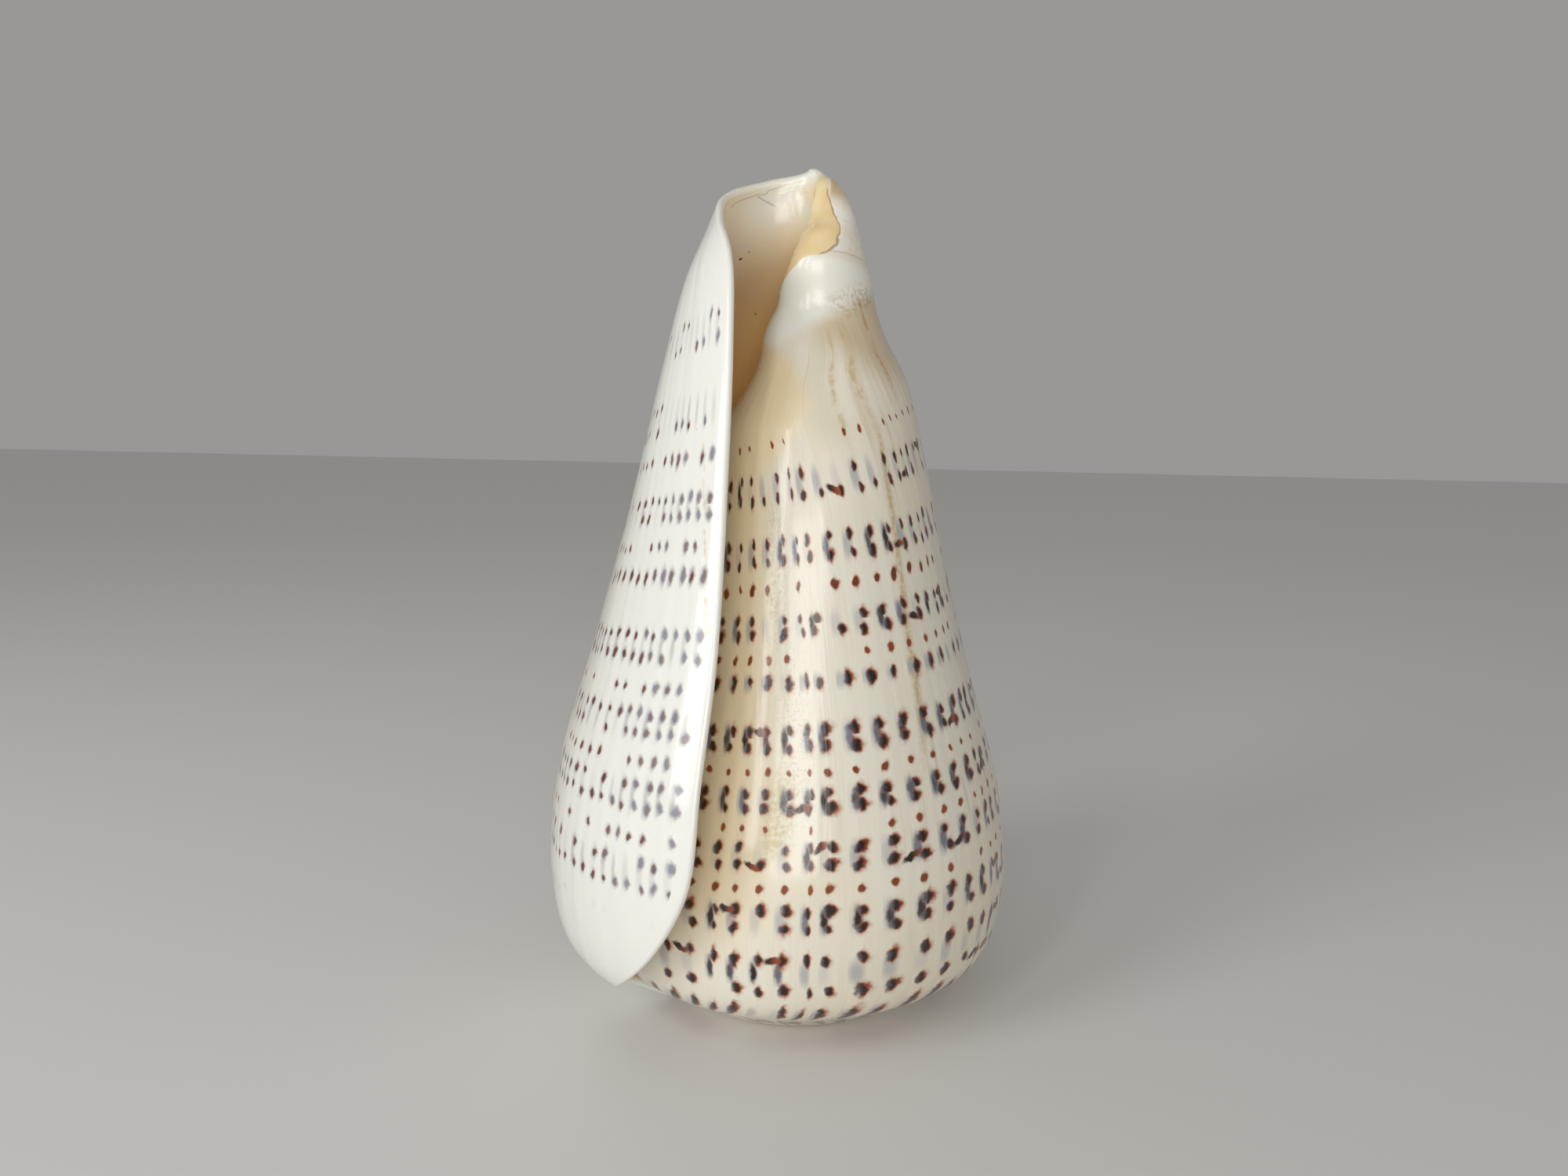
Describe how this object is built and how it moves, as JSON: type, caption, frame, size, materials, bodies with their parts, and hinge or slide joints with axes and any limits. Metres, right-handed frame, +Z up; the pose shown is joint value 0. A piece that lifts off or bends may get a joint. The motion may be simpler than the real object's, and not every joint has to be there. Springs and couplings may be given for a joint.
{
  "type": "cone shell",
  "caption": "Large glossy cone-shaped sea shell with a long open slit and an open canal end, standing on its flat spire.",
  "frame": {"origin": "middle of the shell's bounding box, at the level of the flat spire that it stands on", "axes": "+Z up, from the spire to the open canal end; -Y towards the straight lip and the slit; +X to the right of someone who looks at the lip"},
  "size_m": [0.0726, 0.0732, 0.13],
  "materials": {
    "shell": "gloss"
  },
  "bodies": {
    "root": {"cone_shell": "shell"}
  },
  "joints": []
}
